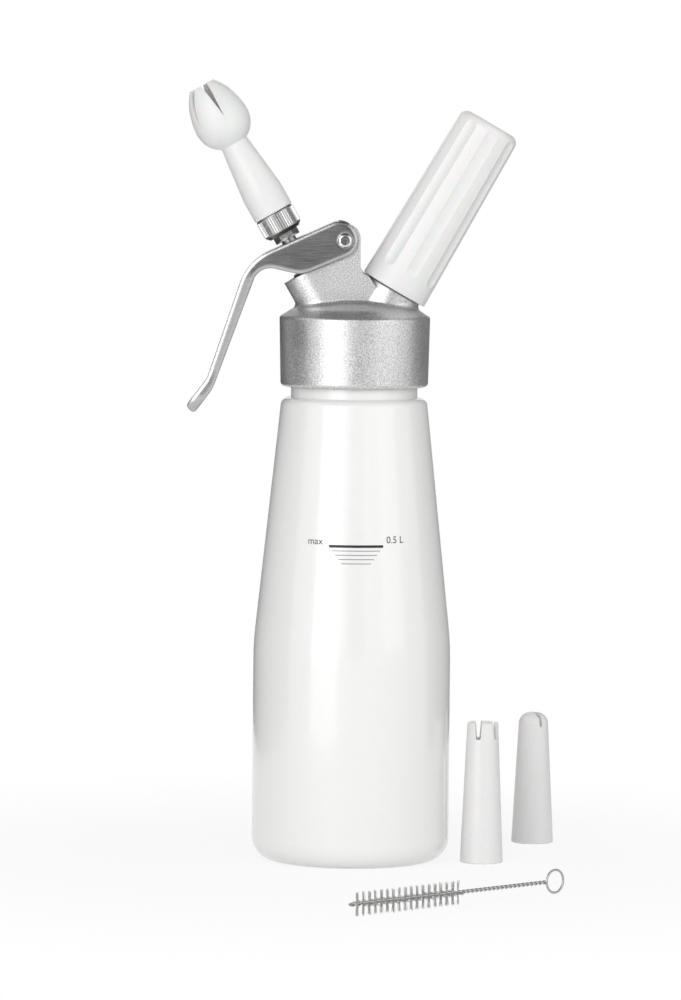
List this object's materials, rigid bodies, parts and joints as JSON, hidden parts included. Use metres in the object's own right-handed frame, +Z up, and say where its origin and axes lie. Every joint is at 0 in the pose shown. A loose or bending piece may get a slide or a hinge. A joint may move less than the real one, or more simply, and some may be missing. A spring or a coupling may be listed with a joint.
{
  "type": "whipped cream dispenser",
  "caption": "Whipped cream dispenser: tapered bottle, screwed cast head, hand lever valve with tulip nozzle, gas charger holder, spare nozzles and cleaning brush.",
  "frame": {"origin": "centre of the bottle's foot, on the surface it stands on", "axes": "+Z up along the bottle, +X towards the charger holder, -X towards the lever and nozzle, -Y towards the face with the fill mark"},
  "size_m": [0.1487, 0.2353, 0.3079],
  "materials": {
    "lacquered_aluminium": "gloss white baked lacquer over drawn aluminium",
    "cast_silver": "fine grained silver coating over a die casting",
    "pressed_steel": "satin pressed stainless steel",
    "bright_steel": "bright machined stainless steel",
    "turned_steel": "turned stainless steel",
    "spring_steel": "drawn spring wire",
    "charger_steel": "zinc plated drawn steel",
    "silicone": "matt food grade silicone",
    "white_plastic": "satin moulded polypropylene",
    "brush_wire_steel": "twisted stainless wire",
    "nylon_bristle": "translucent nylon bristle"
  },
  "bodies": {
    "bottle": {"bottle": "lacquered_aluminium"},
    "gasket": {"head_gasket": "silicone"},
    "head": {"head_body": "cast_silver", "pivot_screw": "bright_steel", "pivot_nut": "bright_steel", "stem_ring": "silicone", "spring_seat": "turned_steel", "valve_spring": "spring_steel", "check_valve": "silicone", "piercing_pin": "turned_steel", "pin_retainer": "turned_steel", "charger_seal": "silicone"},
    "lever": {"lever": "pressed_steel"},
    "valve": {"valve_stem": "turned_steel", "valve_seal": "silicone", "seal_retainer": "turned_steel", "valve_nut": "turned_steel", "lock_washer": "turned_steel", "lock_nut": "turned_steel", "nozzle_adapter": "bright_steel", "adapter_ring": "silicone"},
    "nozzle": {"tulip_nozzle": "white_plastic"},
    "charger": {"gas_charger": "charger_steel"},
    "holder": {"charger_holder": "white_plastic", "holder_insert": "turned_steel"},
    "crown_spare": {"crown_nozzle": "white_plastic"},
    "star_spare": {"star_nozzle": "white_plastic"},
    "brush": {"brush_wire": "brush_wire_steel", "brush_bristles": "nylon_bristle"}
  },
  "joints": [
    {"name": "head_rise", "type": "slide", "parent": "bottle", "child": "gasket", "axis": [0, 0, 1], "range_m": [0, 0.0175]},
    {"name": "head_unscrew", "type": "hinge", "parent": "gasket", "child": "head", "pos_m": [0, 0, 0.2015], "axis": [0, 0, 1], "range_deg": [0, 1800]},
    {"name": "lever_press", "type": "hinge", "parent": "head", "child": "lever", "pos_m": [-0.00417, 0, 0.24513], "axis": [0, -1, 0], "range_deg": [0, 12]},
    {"name": "valve_travel", "type": "slide", "parent": "head", "child": "valve", "axis": [0.5, 0, -0.866], "range_m": [0, 0.00402], "stiffness_N_per_m": 3000, "springref_m": -0.0038, "deforming": ["valve_spring"]},
    {"name": "nozzle_off", "type": "slide", "parent": "valve", "child": "nozzle", "axis": [-0.5, 0, 0.866], "range_m": [0, 0.012]},
    {"name": "charger_rise", "type": "slide", "parent": "head", "child": "charger", "axis": [0.5, 0, 0.866], "range_m": [0, 0.012]},
    {"name": "holder_unscrew", "type": "hinge", "parent": "charger", "child": "holder", "pos_m": [0, 0, 0.1995], "axis": [0.5, 0, 0.866], "range_deg": [0, 2880]},
    {"name": "crown_lift", "type": "slide", "parent": "bottle", "child": "crown_spare", "axis": [0, 0, 1], "range_m": [0, 0.06]},
    {"name": "star_lift", "type": "slide", "parent": "bottle", "child": "star_spare", "axis": [0, 0, 1], "range_m": [0, 0.06]},
    {"name": "brush_lift", "type": "slide", "parent": "bottle", "child": "brush", "axis": [0, 0, 1], "range_m": [0, 0.06]}
  ],
  "couplings": [
    {"joint": "head_unscrew", "follows": "head_rise", "rad_per_m": 1795.2},
    {"joint": "holder_unscrew", "follows": "charger_rise", "rad_per_m": 4188.8},
    {"joint": "lever_press", "follows": "valve_travel", "rad_per_m": 52.083}
  ]
}
